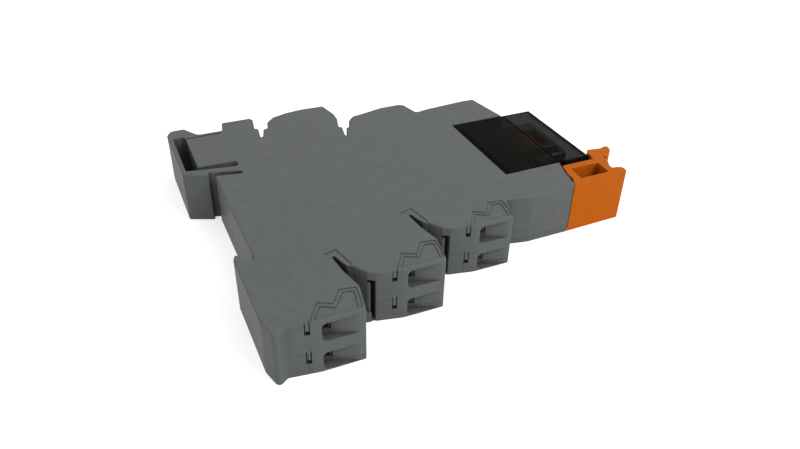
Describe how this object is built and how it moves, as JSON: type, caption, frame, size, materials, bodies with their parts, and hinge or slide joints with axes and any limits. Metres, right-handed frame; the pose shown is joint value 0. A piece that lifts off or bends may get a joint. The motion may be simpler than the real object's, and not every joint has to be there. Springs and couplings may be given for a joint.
{
  "type": "safety relay",
  "caption": "Slim grey plug-in relay module for a 35 mm rail: stepped push-in terminal towers, fixed hook, springy foot, smoky relay and orange ejector bracket.",
  "frame": {"origin": "centre of the rail seat, half way through the thin width", "axes": "+X from the rail seat to the front, +Y across the rail from the fixed hook to the springy foot, +Z through the thin width, towards the side that faces up as it lies"},
  "size_m": [0.0973, 0.0803, 0.012],
  "materials": {
    "housing": "fine matt moulding texture",
    "divider": "plain moulded",
    "bracket": "satin moulded",
    "conductor": "tin-dulled copper alloy",
    "clamp_spring": "spring steel",
    "contact_spring": "rolled bronze",
    "contact_metal": "silver alloy",
    "board": "green solder mask",
    "led": "clear tinted",
    "component": "moulded",
    "relay_cover": "smoky transparent",
    "relay_base": "black moulded",
    "bobbin": "dark moulded",
    "winding": "enamelled copper wire",
    "iron": "plated soft iron",
    "card": "moulded"
  },
  "bodies": {
    "housing": {"housing_shell": "housing", "side_cover": "housing", "pole_divider": "divider", "near_bar_1_upper": "conductor", "near_clamp_1_upper": "clamp_spring", "near_bar_2_upper": "conductor", "near_clamp_2_upper": "clamp_spring", "near_bar_3_upper": "conductor", "near_clamp_3_upper": "clamp_spring", "near_bar_1_lower": "conductor", "near_clamp_1_lower": "clamp_spring", "near_bar_2_lower": "conductor", "near_clamp_2_lower": "clamp_spring", "near_bar_3_lower": "conductor", "near_clamp_3_lower": "clamp_spring", "far_bar_2_upper": "conductor", "far_clamp_2_upper": "clamp_spring", "far_bar_3_upper": "conductor", "far_clamp_3_upper": "clamp_spring", "far_bar_2_lower": "conductor", "far_clamp_2_lower": "clamp_spring", "far_bar_3_lower": "conductor", "far_clamp_3_lower": "clamp_spring", "coil_contact_upper": "conductor", "coil_contact_lower": "conductor", "circuit_board": "board", "status_led": "led", "diode": "component", "resistor": "component"},
    "bracket": {"retaining_bracket": "bracket"},
    "relay": {"relay_cover": "relay_cover", "relay_base": "relay_base", "coil_bobbin": "bobbin", "coil_winding": "winding", "coil_core": "iron", "magnet_yoke": "iron", "fixed_contacts": "contact_metal", "common_blade_upper": "conductor", "common_blade_lower": "conductor", "closed_blade_upper": "conductor", "closed_blade_lower": "conductor", "open_blade_upper": "conductor", "open_blade_lower": "conductor", "coil_pin_upper": "conductor", "coil_pin_lower": "conductor"},
    "armature": {"armature": "iron", "actuator_card": "card"},
    "contact_springs": {"moving_spring_upper": "contact_spring", "moving_spring_lower": "contact_spring", "moving_contacts": "contact_metal"}
  },
  "joints": [
    {"name": "bracket_swing", "type": "hinge", "parent": "housing", "child": "bracket", "pos_m": [0.0704, -0.0173, 0], "axis": [0, 0, -1], "range_deg": [0, 16]},
    {"name": "relay_eject", "type": "slide", "parent": "housing", "child": "relay", "axis": [1, 0, 0], "range_m": [0, 0.00205]},
    {"name": "armature_tilt", "type": "hinge", "parent": "relay", "child": "armature", "pos_m": [0.0822, -0.00115, 0], "axis": [0, 0, -1], "range_deg": [0, 4.2], "stiffness_Nm_per_rad": 0.01},
    {"name": "contact_spring_tilt", "type": "hinge", "parent": "relay", "child": "contact_springs", "pos_m": [0.0656, -0.00392, 0], "axis": [0, 0, 1], "range_deg": [0, 4.5]}
  ],
  "couplings": [
    {"joint": "relay_eject", "follows": "bracket_swing", "m_per_rad": 0.0072},
    {"joint": "contact_spring_tilt", "follows": "armature_tilt", "ratio": 1.07}
  ]
}
